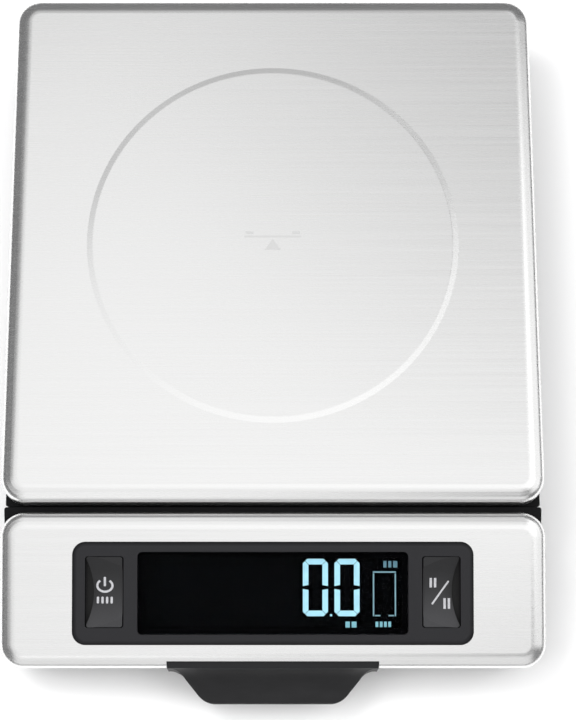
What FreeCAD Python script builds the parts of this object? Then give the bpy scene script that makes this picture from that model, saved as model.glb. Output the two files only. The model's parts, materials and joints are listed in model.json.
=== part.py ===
import FreeCAD, Part
import math
import os

# Kitchen scale with a lift-off steel platform and a display head that pulls out on a tongue.
# Millimetres. +Z is up, -Y is the front. The origin is the middle of the footprint, on the worktop.

V = FreeCAD.Vector

# ---- Driving dimensions -------------------------------------------------------------------
WIDTH = 212.8  # of the platform and of the head's steel cover
PLATFORM_LENGTH = 212.0
HEAD_LENGTH = 59.2  # of the head's steel cover, seen from above
HEAD_GAP = 4.3  # between the platform's edge and the head's steel cover
TAB_REACH = 12.5  # of the pull tab in front of the head
HEIGHT = 38.0  # to the top of the raised disc
HEAD_TILT = 12.0  # degrees, the display face leans towards the user
HEAD_TRAVEL = 95.0  # of the display head, from stowed to fully out
WEIGH_TRAVEL = 0.6  # of the tray, from empty to just above the overload stops
KEY_TRAVEL = 0.5  # of each key, with its plunger in the switch

LENGTH = PLATFORM_LENGTH + HEAD_GAP + HEAD_LENGTH + TAB_REACH
BACK_Y = LENGTH / 2
PLATFORM_FRONT_Y = BACK_Y - PLATFORM_LENGTH
PLATFORM_Y = BACK_Y - PLATFORM_LENGTH / 2  # the platform's middle
HEAD_REAR_Y = PLATFORM_FRONT_Y - HEAD_GAP
HEAD_FRONT_Y = HEAD_REAR_Y - HEAD_LENGTH
TAB_FRONT_Y = -LENGTH / 2

# Sheet steel covers
SHEET = 0.8
CORNER = 10.0
BEVEL = 5.2
BEVEL_DROP = 2.05
SKIRT = 8.4
SOFT_EDGE = 8.0  # radius where the flat turns into the bevel
RIM_EDGE = 3.2  # radius where the bevel turns into the skirt
DISC_RISE = 0.33
DISC_RADIUS = 73.6
DISC_SLOPE = 2.4  # width of the step around the raised disc
PLATFORM_Z = HEIGHT - DISC_RISE
SKIRT_Z = PLATFORM_Z - BEVEL_DROP - SKIRT

# Display head, in its own tilted frame: the cover's top face is z = 0 and its rear edge y = 0
HEAD_Z = PLATFORM_Z - 1.8
FACE_LENGTH = HEAD_LENGTH / math.cos(math.radians(HEAD_TILT))
HEAD_BEVEL = 4.7
HEAD_DROP = 1.9
HEAD_SKIRT = 6.4
HEAD_CORNER = 9.5
ISLAND_X, ISLAND_Y0, ISLAND_Y1, ISLAND_R = 77.8, -50.9, -11.3, 5.0
ISLAND_RISE, ISLAND_RIM = 1.0, 1.6  # how far the display island stands up, and the width of its sloping rim
LENS_X, LENS_Y0, LENS_Y1, LENS_R = 52.6, -47.1, -15.0, 2.0
LENS_THICK = 1.5
LENS_TOP = ISLAND_RISE - 0.25
KEY_X, KEY_HALF, KEY_Y0, KEY_Y1 = 65.4, 7.1, -44.3, -16.8
KEY_SIDE_GAP, KEY_END_GAP = 0.4, 0.12
KEY_TOP = ISLAND_RISE - 0.15
KEY_RELIEF = 2.9  # widest part of the finger relief along each key's outer edge
FRAME_TOP, FRAME_LOW = -SHEET - 0.05, -2.6
BOARD_TOP, BOARD_LOW = -9.9, -11.5
LCD_X, LCD_Y0, LCD_Y1 = 52.4, -48.2, -13.2
SHELF = -8.6  # where the head's lower housing steps out under the steel skirt
WALL_TOP = -3.8  # of the housing's upper wall, inside the skirt

# Base
FOOT_H = 2.0  # how far the feet stand proud
FOOT_R = 7.5
WALL = 2.4
BASE_HALF = WIDTH / 2 - 1.0
BASE_LEAN = 3.2  # the walls lean in by this much at the bottom
BASE_TOP = SKIRT_Z - 1.6
BASE_FRONT_Y = -68.0
BASE_BACK_Y = BACK_Y - 0.6
FLOOR_Z = FOOT_H + WALL
COVER_LOW = BASE_TOP - 2.0

# Drawer tongue and its guides
TONGUE_HALF = 60.0
TONGUE_LOW, TONGUE_TOP = FLOOR_Z + 0.2, FLOOR_Z + 3.2
TONGUE_BACK_Y = 64.0
TONGUE_FRONT_Y = -122.0
LUG_Y = BASE_FRONT_Y + WALL + HEAD_TRAVEL + 1.6
DETENT_Y = -50.0
LEAF_CREST, LEAF_FOOT, LEAF_HALF, LEAF_THICK = TONGUE_HALF - 0.75, TONGUE_HALF + 5.6, 10.0, 0.4
LEAF_R = (LEAF_HALF**2 + (LEAF_FOOT - LEAF_CREST) ** 2) / (2 * (LEAF_FOOT - LEAF_CREST))
RAIL_FRONT_Y, RAIL_BACK_Y = -64.5, 62.0
HEAD_BACK_Y = BASE_FRONT_Y - 0.6  # rear face of the head's lower housing
HEAD_LOW = 2.6
HEAD_FLOOR = HEAD_LOW + 2.0

# Load cell: a 12.7 mm square bar
CELL = 12.7
CELL_LENGTH = 80.0
CELL_LOW = 9.5
CELL_TOP = CELL_LOW + CELL
CELL_Y0 = PLATFORM_Y - CELL_LENGTH / 2
CELL_Y1 = PLATFORM_Y + CELL_LENGTH / 2
CELL_HOLES = (5.0, 20.0)  # from each end
SPACER = 1.5

# Batteries: four AAA cells side by side
AAA_R, AAA_LENGTH = 5.25, 44.5
AAA_X = (-16.5, -5.5, 5.5, 16.5)
AAA_Z = 9.7
BAY_X, BAY_Y0, BAY_Y1 = 24.6, 87.0, 138.0
DOOR_X, DOOR_Y0, DOOR_Y1 = 23.2, 88.9, 134.6
DOOR_THICK = 1.8
DOOR_PIVOT_Y, DOOR_PIVOT_Z = DOOR_Y0 + 0.9, FOOT_H + 0.9

# Flat ribbon cable between the two circuit boards
RIBBON_X0, RIBBON_X1, RIBBON_THICK = 30.0, 44.0, 0.3
RIBBON_LOW, RIBBON_HIGH = TONGUE_TOP - 0.8, 16.0
RIBBON_LOOP_Y = 40.0
BOARD_Z0 = 17.4  # the base board hangs under the base cover
BOARD_THICK = 1.6

CLEAR = 0.05  # round parts in their own holes
PAD_X, PAD_SPREAD, PAD_R = 80.0, 80.0, 6.0


# ---- Helpers --------------------------------------------------------------------------------
def box(x0, x1, y0, y1, z0, z1):
    return Part.makeBox(x1 - x0, y1 - y0, z1 - z0, V(x0, y0, z0))


def rod(x, y, z0, z1, r):
    """Upright cylinder."""
    return Part.makeCylinder(r, z1 - z0, V(x, y, z0))


def rod_x(x0, x1, y, z, r):
    return Part.makeCylinder(r, x1 - x0, V(x0, y, z), V(1, 0, 0))


def rod_y(x, y0, y1, z, r):
    return Part.makeCylinder(r, y1 - y0, V(x, y0, z), V(0, 1, 0))


def outline(x_half, y0, y1, z, r_front, r_back):
    """Rectangle about x = 0 with rounded corners, as a wire at height z."""
    corners = [
        (r_front - x_half, y0 + r_front, r_front, 180),
        (x_half - r_front, y0 + r_front, r_front, 270),
        (x_half - r_back, y1 - r_back, r_back, 0),
        (r_back - x_half, y1 - r_back, r_back, 90),
    ]

    def at(cx, cy, r, degrees):
        a = math.radians(degrees)
        return V(cx + r * math.cos(a), cy + r * math.sin(a), z)

    edges = []
    for i, (cx, cy, r, start) in enumerate(corners):
        edges.append(Part.Arc(*[at(cx, cy, r, start + d) for d in (0, 45, 90)]).toShape())
        nx, ny, nr, nstart = corners[(i + 1) % 4]
        edges.append(Part.LineSegment(at(cx, cy, r, start + 90), at(nx, ny, nr, nstart)).toShape())
    return Part.Wire(edges)


def slab(x_half, y0, y1, z0, z1, r, r_back=None):
    """Upright prism on a rounded rectangle."""
    wire = outline(x_half, y0, y1, z0, r, r if r_back is None else r_back)
    return Part.Face(wire).extrude(V(0, 0, z1 - z0))


def taper(low, high):
    """Solid between two outlines of the same form."""
    return Part.makeLoft([outline(*low), outline(*high)], True, True)


def cut(shape, *tools):
    for tool in tools:
        shape = shape.cut(tool)
    return shape


def fuse(first, *rest):
    return first.fuse(list(rest)).removeSplitter() if rest else first


def group(solids):
    return Part.makeCompound(solids)


def level_edges(shape, z, tolerance=1e-3):
    return [
        e
        for e in shape.Edges
        if abs(e.BoundBox.ZMin - z) < tolerance and abs(e.BoundBox.ZMax - z) < tolerance
    ]


def round_level(shape, z, r):
    """Rounds every edge that lies at height z."""
    return shape.makeFillet(r, level_edges(shape, z))


def moved(shape, x=0.0, y=0.0, z=0.0):
    shape = shape.copy()
    shape.translate(V(x, y, z))
    return shape


def turned(shape, axis, degrees, about=V(0, 0, 0)):
    shape = shape.copy()
    shape.rotate(about, axis, degrees)
    return shape


def both_sides(shape):
    """The shape and its mirror image across x = 0."""
    return [shape, shape.mirror(V(0, 0, 0), V(1, 0, 0))]


def on_head(shape):
    """From the head's tilted frame to its place on the scale."""
    return moved(turned(shape, V(1, 0, 0), HEAD_TILT), 0, HEAD_REAR_Y, HEAD_Z)


def above_face(level):
    """All space on or above a plane parallel to the display face."""
    return on_head(box(-200, 200, -200, 200, level, level + 200))


def screw(r, length, head_r, head_h):
    """Pan-head screw that points down, with its head's underside at z = 0 and a cross recess."""
    body = fuse(rod(0, 0, -length, 0, r), rod(0, 0, 0, head_h, head_r))
    body = body.makeFillet(head_h * 0.35, level_edges(body, head_h))
    slot = head_r * 0.6
    width, depth = head_r * 0.18, head_h * 0.55
    cross = fuse(
        box(-slot, slot, -width, width, head_h - depth, head_h + 1),
        box(-width, width, -slot, slot, head_h - depth, head_h + 1),
    )
    return body.cut(cross)


def screw_down(x, y, z, *size):
    return moved(screw(*size), x, y, z)


def screw_up(x, y, z, *size):
    return moved(turned(screw(*size), V(1, 0, 0), 180), x, y, z)


def steel_pan(x_half, y0, y1, corner, bevel, drop, skirt, sheet):
    """Pressed cover with its top at z = 0: flat top, shallow bevel, upright skirt, one sheet thick."""

    def solid(inset, top, low):
        r = corner - inset
        edge = (x_half - inset, y0 + inset, y1 - inset)
        lip = (x_half - inset - bevel, y0 + inset + bevel, y1 - inset - bevel)
        wall = slab(*edge, low, top - drop, r)
        rim = taper((*edge, top - drop, r, r), (*lip, top, r - bevel, r - bevel))
        body = fuse(wall, rim)
        body = round_level(body, top, SOFT_EDGE - inset)
        return round_level(body, top - drop, RIM_EDGE - inset)

    outer = solid(0.0, 0.0, -drop - skirt)
    inner = solid(sheet, -sheet, -drop - skirt - 5)
    return outer.cut(inner)


# ---- Platform and weighing --------------------------------------------------------------------
def pad_places():
    return [(x, PLATFORM_Y + s * PAD_SPREAD) for x in (-PAD_X, PAD_X) for s in (-1, 1)]


def platform_plate():
    half = PLATFORM_LENGTH / 2
    pan = steel_pan(WIDTH / 2, -half, half, CORNER, BEVEL, BEVEL_DROP, SKIRT, SHEET)
    wide, narrow = DISC_RADIUS + DISC_SLOPE / 2, DISC_RADIUS - DISC_SLOPE / 2
    disc = Part.makeCone(wide, narrow, DISC_RISE, V(0, 0, 0))
    hollow = Part.makeCone(wide, narrow, DISC_RISE, V(0, 0, -SHEET))
    plate = fuse(pan, disc)
    plate = round_level(plate, DISC_RISE, 3.0)
    return moved(plate.cut(hollow), 0, PLATFORM_Y, PLATFORM_Z)


def platform_liner():
    """Moulded frame glued inside the platform, with sockets that sit over the pads."""
    low, high = PLATFORM_Z - SHEET - 1.6, PLATFORM_Z - SHEET
    half = PLATFORM_LENGTH / 2 - 7.4
    frame = slab(WIDTH / 2 - 7.4, PLATFORM_Y - half, PLATFORM_Y + half, low, high, 5)
    hole = slab(66, PLATFORM_Y - 66, PLATFORM_Y + 66, low - 1, high + 1, 18)
    sockets = [rod(x, y, low - 1, high + 1, PAD_R + 0.4) for x, y in pad_places()]
    collars = [rod(x, y, low - 1.4, low, PAD_R + 2.2) for x, y in pad_places()]
    relief = rod(0, PLATFORM_Y, high - 0.3, high + 1, DISC_RADIUS + DISC_SLOPE)
    return cut(fuse(frame, *collars), hole, relief, *sockets, *[moved(s, 0, 0, -2) for s in sockets])


TRAY_LOW, TRAY_TOP = BASE_TOP + 2.1 + WEIGH_TRAVEL, BASE_TOP + 4.9
TOWER_TOP = PLATFORM_Z - SHEET - 3.6
TRAY_HALF = WIDTH / 2 - 8.0


def weigh_tray():
    """Ribbed moulding that carries the platform on the free end of the load cell."""
    half = PLATFORM_LENGTH / 2 - 8.0
    y0, y1 = PLATFORM_Y - half, PLATFORM_Y + half
    plate = slab(TRAY_HALF, y0, y1, TRAY_LOW, TRAY_TOP, 6)
    rim = slab(TRAY_HALF, y0, y1, TRAY_TOP, TRAY_TOP + 2.6, 6)
    rim = rim.cut(slab(TRAY_HALF - 2, y0 + 2, y1 - 2, TRAY_TOP - 1, TRAY_TOP + 4, 4.5))
    ribs = []
    for offset in (-54.0, -27.0, 0.0, 27.0, 54.0):
        ribs.append(box(offset - 1, offset + 1, y0 + 1, y1 - 1, TRAY_TOP, TRAY_TOP + 2.6))
        at = PLATFORM_Y + offset
        ribs.append(box(1 - TRAY_HALF, TRAY_HALF - 1, at - 1, at + 1, TRAY_TOP, TRAY_TOP + 2.6))
    boss = box(-11, 11, CELL_Y0, CELL_Y0 + 25, CELL_TOP + SPACER, TRAY_LOW)
    seat = box(-12, 12, CELL_Y0 - 2, CELL_Y0 + 27, TRAY_TOP, TRAY_TOP + 4)
    towers = [rod(x, y, TRAY_TOP, TOWER_TOP, 8.5) for x, y in pad_places()]
    holes = [rod(x, y, TRAY_LOW - 1, TOWER_TOP + 1, 2.5 + CLEAR) for x, y in pad_places()]
    bolts = [rod(0, CELL_Y0 + h, CELL_TOP, TRAY_TOP + 5, 2.0 + 2 * CLEAR) for h in CELL_HOLES]
    clear_pads = [rod(x, y, TOWER_TOP, TOWER_TOP + 9, PAD_R + 3) for x, y in pad_places()]
    tray = cut(fuse(plate, rim, *ribs), *clear_pads, seat)
    return cut(fuse(tray, boss, *towers), *holes, *bolts)


def tray_spacer():
    plate = box(-12, 12, CELL_Y0, CELL_Y0 + 25, CELL_TOP, CELL_TOP + SPACER)
    holes = [rod(0, CELL_Y0 + h, CELL_TOP - 1, CELL_TOP + 3, 2.0 + 2 * CLEAR) for h in CELL_HOLES]
    return cut(plate, *holes)


def tray_screws():
    length = TRAY_TOP - CELL_TOP + 9.0
    return group([screw_down(0, CELL_Y0 + h, TRAY_TOP, 2.0, length, 3.8, 2.6) for h in CELL_HOLES])


def platform_pads():
    """Silicone buttons that the steel platform rests on."""
    pads = []
    for x, y in pad_places():
        head = rod(x, y, TOWER_TOP, PLATFORM_Z - SHEET, PAD_R)
        head = head.makeFillet(0.8, level_edges(head, PLATFORM_Z - SHEET))
        pads.append(fuse(head, rod(x, y, TRAY_LOW + 0.4, TOWER_TOP, 2.5)))
    return group(pads)


def load_cell():
    """Aluminium bending beam with a double-hole weakening in its middle."""
    bar = box(-CELL / 2, CELL / 2, CELL_Y0, CELL_Y1, CELL_LOW, CELL_TOP)
    mid = (CELL_LOW + CELL_TOP) / 2
    eyes = [rod_x(-10, 10, PLATFORM_Y + s * 10, mid, 4.6) for s in (-1, 1)]
    slot = box(-10, 10, PLATFORM_Y - 10, PLATFORM_Y + 10, mid - 1.5, mid + 1.5)
    ends = [CELL_Y0 + h for h in CELL_HOLES] + [CELL_Y1 - h for h in CELL_HOLES]
    holes = [rod(0, y, CELL_LOW - 1, CELL_TOP + 1, 2.0 + 2 * CLEAR) for y in ends]
    return cut(bar, *eyes, slot, *holes)


def gauge_covers():
    """Silicone over the four strain gauges, above and below the two thin webs."""
    covers = []
    for s in (-1, 1):
        y = PLATFORM_Y + s * 10
        covers.append(box(-5, 5, y - 5, y + 5, CELL_TOP, CELL_TOP + 0.7))
        covers.append(box(-5, 5, y - 5, y + 5, CELL_LOW - 0.7, CELL_LOW))
    return group(covers)


def load_cell_spacer():
    plate = box(-11, 11, CELL_Y1 - 25, CELL_Y1, CELL_LOW - SPACER, CELL_LOW)
    holes = [rod(0, CELL_Y1 - h, CELL_LOW - 4, CELL_LOW + 1, 2.0 + 2 * CLEAR) for h in CELL_HOLES]
    return cut(plate, *holes)


def load_cell_screws():
    seat = FOOT_H + 3.0
    return group([screw_up(0, CELL_Y1 - h, seat, 2.0, 14.0, 3.8, 2.6) for h in CELL_HOLES])


# ---- Base -------------------------------------------------------------------------------------
POSTS = [(s * 95.0, y) for s in (-1, 1) for y in (-56.0, PLATFORM_Y, 128.0)]
FEET = [(s * 86.0, y) for s in (-1, 1) for y in (-46.0, 122.0)]
RAIL_SCREWS_Y = (-33.0, 10.0, 54.0)
BOARD_POSTS = [(x, y) for x in (24.5, 63.5) for y in (-47.0, -21.0)]
RIB_END = BASE_HALF - BASE_LEAN - 0.6  # ribs end inside the walls, which lean in
STOPS = [(s * 70.0, PLATFORM_Y + t * 62.0) for s in (-1, 1) for t in (-1, 1)]


def base_outline(inset, z):
    """The base's plan at height z. Sides and back lean in towards the bottom, the front is upright."""
    lean = BASE_LEAN * (BASE_TOP - z) / (BASE_TOP - FOOT_H)
    return (
        BASE_HALF - lean - inset,
        BASE_FRONT_Y + inset,
        BASE_BACK_Y - lean - inset,
        z,
        max(1.0 - inset, 0.5),
        9.5 - inset,
    )


def base_shell():
    shell = taper(base_outline(0, FOOT_H), base_outline(0, BASE_TOP))
    shell = round_level(shell, FOOT_H, 0.8)
    cavity = taper(base_outline(WALL, FLOOR_Z), base_outline(WALL, BASE_TOP + 1))
    shell = shell.cut(cavity)
    adds = []
    for x, y in POSTS:
        adds.append(rod(x, y, FLOOR_Z - 0.5, COVER_LOW, 3.4))
        reach = math.copysign(RIB_END, x)
        adds.append(box(min(x, reach), max(x, reach), y - 1, y + 1, FLOOR_Z - 0.5, COVER_LOW - 1))
    for s in (-1, 1):
        for y in RAIL_SCREWS_Y:
            adds.append(rod(s * 68, y, FLOOR_Z - 0.5, FLOOR_Z + 4, 3.2))
    adds.append(box(-11, 11, CELL_Y1 - 25, CELL_Y1 + 2, FLOOR_Z - 0.5, CELL_LOW - SPACER))
    # Battery bay: an inverted box open at the floor
    bay_top = AAA_Z + AAA_R + 0.6
    bay = box(-BAY_X - 1.6, BAY_X + 1.6, BAY_Y0 - 1.6, BAY_Y1 + 0.4, FLOOR_Z - 0.5, bay_top + 1.6)
    adds.append(bay)
    # Fences that stiffen the floor between the bay and the walls
    for s in (-1, 1):
        for y in (92.0, 112.0, 132.0):
            ends = sorted((s * 26.0, s * RIB_END))
            adds.append(box(*ends, y - 0.8, y + 0.8, FLOOR_Z - 0.5, FLOOR_Z + 5))
    shell = fuse(shell, *adds)
    cuts = [box(-BAY_X, BAY_X, BAY_Y0, BAY_Y1, FLOOR_Z, bay_top)]
    cuts.append(box(-DOOR_X - 0.3, DOOR_X + 0.3, DOOR_Y0 - 0.5, DOOR_Y1 + 0.3, FOOT_H - 1, FLOOR_Z + 1))
    pin = DOOR_X + 1.6
    cuts.append(rod_x(-pin, pin, DOOR_PIVOT_Y, DOOR_PIVOT_Z, 0.7 + CLEAR))
    for x, y in FEET:
        cuts.append(rod(x, y, FOOT_H - 1, FOOT_H + 1, FOOT_R + 0.1))
    for x, y in POSTS:
        cuts.append(rod(x, y, COVER_LOW - 12, COVER_LOW + 1, 1.25 + CLEAR))
    for s in (-1, 1):
        for y in RAIL_SCREWS_Y:
            cuts.append(rod(s * 68, y, FLOOR_Z - 0.6, FLOOR_Z + 5, 1.25 + CLEAR))
    for h in CELL_HOLES:
        cuts.append(rod(0, CELL_Y1 - h, 0, CELL_LOW, 2.0 + 2 * CLEAR))
        cuts.append(rod(0, CELL_Y1 - h, 0, FOOT_H + 3.0, 4.1))
    mouth = TONGUE_HALF + 0.5
    cuts.append(box(-mouth, mouth, BASE_FRONT_Y - 1, BASE_FRONT_Y + WALL + 0.5, FLOOR_Z, TONGUE_TOP + 0.3))
    # Slots in the bay's front wall for the two battery leads
    for x in (AAA_X[0], AAA_X[3]):
        cuts.append(box(x - 1.2, x + 1.2, BAY_Y0 - 2, BAY_Y0 + 1, AAA_Z + 1.8, AAA_Z + 4.4))
    return cut(shell, *cuts)


def base_cover():
    x_half, y0, y1, _, r_front, r_back = base_outline(WALL + 0.25, COVER_LOW)
    cover = slab(x_half, y0, y1, COVER_LOW, BASE_TOP, r_front, r_back)
    window = slab(15, CELL_Y0 - 4, CELL_Y0 + 29, COVER_LOW - 1, BASE_TOP + 1, 3)
    recesses = [rod(x, y, BASE_TOP - 1.0, BASE_TOP + 1, 3.1) for x, y in POSTS]
    holes = [rod(x, y, COVER_LOW - 1, BASE_TOP + 1, 1.5) for x, y in POSTS]
    hangers = [rod(x, y, BOARD_Z0 + BOARD_THICK, COVER_LOW, 2.6) for x, y in BOARD_POSTS]
    pilots = [rod(x, y, BOARD_Z0, COVER_LOW - 0.6, 1.0 + CLEAR) for x, y in BOARD_POSTS]
    stops = [rod(x, y, BASE_TOP, BASE_TOP + 2.0, 4.0) for x, y in STOPS]
    ribs = [box(-88, 88, y - 0.8, y + 0.8, COVER_LOW - 1.6, COVER_LOW) for y in (-58.0, 100.0)]
    return cut(fuse(cover, *hangers, *stops, *ribs), window, *recesses, *holes, *pilots)


def base_screws():
    return group([screw_down(x, y, BASE_TOP - 1.0, 1.25, 9.0, 2.6, 0.95) for x, y in POSTS])


def rubber_feet():
    feet = []
    for x, y in FEET:
        foot = rod(x, y, 0, FOOT_H + 1, FOOT_R)
        feet.append(foot.makeFillet(0.9, level_edges(foot, 0)))
    return group(feet)


def guide_rails():
    """Acetal rails screwed to the base floor. Each holds one edge of the tongue from beside and above."""
    x, top = TONGUE_HALF, FLOOR_Z + 5.6
    side = box(x + 0.3, x + 4, RAIL_FRONT_Y, RAIL_BACK_Y, FLOOR_Z, top)
    lip = box(x - 4, x + 4, RAIL_FRONT_Y, RAIL_BACK_Y, TONGUE_TOP + 0.2, top)
    flange = box(x + 4, x + 12, RAIL_FRONT_Y, RAIL_BACK_Y, FLOOR_Z + 4, top)
    block = box(x + 0.3, x + 7.5, DETENT_Y - 12.5, DETENT_Y + 12.5, FLOOR_Z, top)
    rail = fuse(side, lip, flange, block)
    pocket = box(x, x + 6, DETENT_Y - 10.5, DETENT_Y + 10.5, FLOOR_Z, TONGUE_TOP + 0.2)
    holes = [rod(68, y, FLOOR_Z, FLOOR_Z + 7, 1.5) for y in RAIL_SCREWS_Y]
    return group(both_sides(cut(rail, pocket, *holes)))


def guide_rail_screws():
    places = [(s * 68.0, y) for s in (-1, 1) for y in RAIL_SCREWS_Y]
    return group([screw_down(x, y, FLOOR_Z + 5.6, 1.25, 5.2, 2.6, 1.4) for x, y in places])


def detent_springs():
    """Bowed leaf springs whose crests drop into notches in the tongue's edges."""

    def arc(shift):
        ends = [V(LEAF_FOOT + shift, DETENT_Y + s * LEAF_HALF, TONGUE_LOW + 0.3) for s in (-1, 1)]
        return ends[0], V(LEAF_CREST + shift, DETENT_Y, TONGUE_LOW + 0.3), ends[1]

    inner, outer = arc(0.0), arc(LEAF_THICK)
    wire = Part.Wire([
        Part.Arc(*inner).toShape(),
        Part.LineSegment(inner[2], outer[2]).toShape(),
        Part.Arc(*reversed(outer)).toShape(),
        Part.LineSegment(outer[0], inner[0]).toShape(),
    ])
    leaf = Part.Face(wire).extrude(V(0, 0, 2.4))
    return group(both_sides(leaf))


def slide_tongue():
    """Flat tongue that carries the display head. Its rear end is forked around the load cell's mount."""
    low, top = TONGUE_LOW, TONGUE_TOP
    length = (TONGUE_FRONT_Y, TONGUE_BACK_Y)
    plate = box(-TONGUE_HALF, TONGUE_HALF, *length, low, top)
    plate = plate.makeFillet(3.0, [e for e in plate.Edges if e.BoundBox.ZLength > 1])
    fork = slab(13.5, CELL_Y1 - 29, 90, low - 1, top + 1, 4)
    channel = box(RIBBON_X0 - 1, RIBBON_X1 + 1, TONGUE_FRONT_Y + 20, TONGUE_BACK_Y + 1, top - 1.0, top + 1)
    notches = [
        rod(s * (LEAF_CREST + LEAF_R), y, low - 1, top + 1, LEAF_R + 0.4)
        for s in (-1, 1)
        for y in (DETENT_Y, DETENT_Y + HEAD_TRAVEL)
    ]
    lugs = [box(s * 50 - 4, s * 50 + 4, LUG_Y, LUG_Y + 4, top, top + 2.2) for s in (-1, 1)]
    bosses = [rod(s * 50.0, y, top, top + 3.2, 4.0) for s in (-1, 1) for y in TONGUE_SCREWS_Y]
    pilots = [rod(s * 50.0, y, low - 1, top + 2.4, 1.45) for s in (-1, 1) for y in TONGUE_SCREWS_Y]
    ribs = [box(s * 18 - 0.8, s * 18 + 0.8, -64, 48, top, top + 0.15) for s in (-1, 1)]
    return cut(fuse(plate, *lugs, *bosses, *ribs), fork, channel, *notches, *pilots)


TONGUE_SCREWS_Y = (-84.0, -112.0)


def tongue_screws():
    seat = HEAD_LOW + 1.2
    places = [(s * 50.0, y) for s in (-1, 1) for y in TONGUE_SCREWS_Y]
    return group([screw_up(x, y, seat, 1.4, 6.0, 3.0, 1.1) for x, y in places])


def stop_bumpers():
    low, top = TONGUE_TOP + 0.2, TONGUE_TOP + 2.1
    return group([box(s * 50 - 3.5, s * 50 + 3.5, LUG_Y - 1.4, LUG_Y, low, top) for s in (-1, 1)])


# ---- Batteries and base electronics --------------------------------------------------------------
def battery(x, plus_at_back):
    """One AAA cell lying along Y, with its nub against the plate at one end of the bay."""
    nub = 1.0
    body = rod_y(x, 0, AAA_LENGTH - nub, AAA_Z, AAA_R)
    body = body.makeFillet(0.5, [e for e in body.Edges if e.BoundBox.YLength < 1e-3])
    cell = fuse(body, rod_y(x, AAA_LENGTH - nub, AAA_LENGTH, AAA_Z, 1.9))
    if plus_at_back:
        return moved(cell, 0, BAY_Y1 - 0.7 - AAA_LENGTH, 0)
    flipped = turned(cell, V(0, 0, 1), 180, V(x, 0, 0))
    return moved(flipped, 0, BAY_Y0 + 0.7 + AAA_LENGTH, 0)


def batteries():
    return group([battery(x, i % 2 == 0) for i, x in enumerate(AAA_X)])


def battery_springs():
    """Conical coil contacts at the flat end of each cell."""
    wire_r, height = 0.3, 4.4
    springs = []
    for i, x in enumerate(AAA_X):
        helix = Part.makeHelix(1.1, height, 3.6, -15)
        start = helix.Vertexes[0].Point
        ring = Part.Wire([Part.Circle(start, V(0, 1, 0), wire_r).toShape()])
        coil = Part.Wire(helix.Edges).makePipeShell([ring], True, True)
        at_front = i % 2 == 0
        coil = turned(coil, V(1, 0, 0), -90 if at_front else 90)
        y = BAY_Y0 + 0.6 + wire_r + 0.02 if at_front else BAY_Y1 - 0.6 - wire_r - 0.02
        springs.append(moved(coil, x, y, AAA_Z))
    return group(springs)


def battery_contacts():
    """Nickel plates: two singles and a bridge in front, two bridges behind."""
    half, low, high = 4.2, AAA_Z - 4.2, AAA_Z + 4.2

    def plate(x0, x1, y):
        return box(x0 - half, x1 + half, y, y + 0.4, low, high)

    front, back = BAY_Y0 + 0.2, BAY_Y1 - 0.6
    singles = [plate(x, x, front) for x in (AAA_X[0], AAA_X[3])]
    bridges = [plate(AAA_X[1], AAA_X[2], front)]
    bridges += [plate(AAA_X[i], AAA_X[i + 1], back) for i in (0, 2)]
    return group(singles + bridges)


def battery_door():
    """Floor hatch that turns on two pins at its front edge and snaps shut behind."""
    plate = box(-DOOR_X, DOOR_X, DOOR_Y0, DOOR_Y1, FOOT_H, FOOT_H + DOOR_THICK)
    hinge_edges = [e for e in plate.Edges if e.BoundBox.XLength > 9 and e.BoundBox.YMax < DOOR_Y0 + 1]
    plate = plate.makeFillet(0.85, hinge_edges)
    pins = rod_x(-DOOR_X - 1.2, DOOR_X + 1.2, DOOR_PIVOT_Y, DOOR_PIVOT_Z, 0.7)
    grips = [box(-9, 9, y - 1, y, FOOT_H - 1, FOOT_H + 0.5) for y in [DOOR_Y1 - 8 - 2 * i for i in range(5)]]
    slots, ribs = [], []
    for s in (-1, 1):
        # The snap finger between the slots is cut free on three sides
        x = s * 12
        slots.append(box(x - 0.4, x + 0.4, DOOR_Y1 - 14, DOOR_Y1 + 1, FOOT_H - 1, FOOT_H + 3))
        x = s * 19
        ribs.append(box(x - 0.6, x + 0.6, DOOR_Y0 + 5, DOOR_Y1 - 4, FOOT_H + DOOR_THICK, FOOT_H + 2.3))
    return cut(fuse(plate, pins, *ribs), *grips, *slots)


def base_board():
    """Small board for the load cell's amplifier, hung under the base cover."""
    board = box(22, 66, -50, -18, BOARD_Z0, BOARD_Z0 + BOARD_THICK)
    return cut(board, *[rod(x, y, BOARD_Z0 - 1, BOARD_Z0 + 3, 1.2) for x, y in BOARD_POSTS])


def base_board_parts():
    top = BOARD_Z0 + BOARD_THICK
    socket = box(RIBBON_X0 - 1.5, RIBBON_X1 + 1.5, -24, -18.6, BOARD_Z0 - 2.4, BOARD_Z0)
    mouth = box(RIBBON_X0 - 0.2, RIBBON_X1 + 0.2, -22, -18, RIBBON_HIGH - 0.35, RIBBON_HIGH + 0.35)
    chip = box(40, 48, -40, -32, top, top + 1.2)
    plugs = [box(32, 38, -24.5, -19, top, top + 2.6), box(50, 57, -27, -21.5, top, top + 2.6)]
    capacitors = [box(x, x + 2, -44, -42.8, top, top + 0.9) for x in (36.0, 40.0, 44.0, 48.0)]
    return group([socket.cut(mouth), chip] + plugs + capacitors)


def base_board_screws():
    return group([screw_up(x, y, BOARD_Z0, 1.0, 5.0, 2.0, 1.2) for x, y in BOARD_POSTS])


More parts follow.
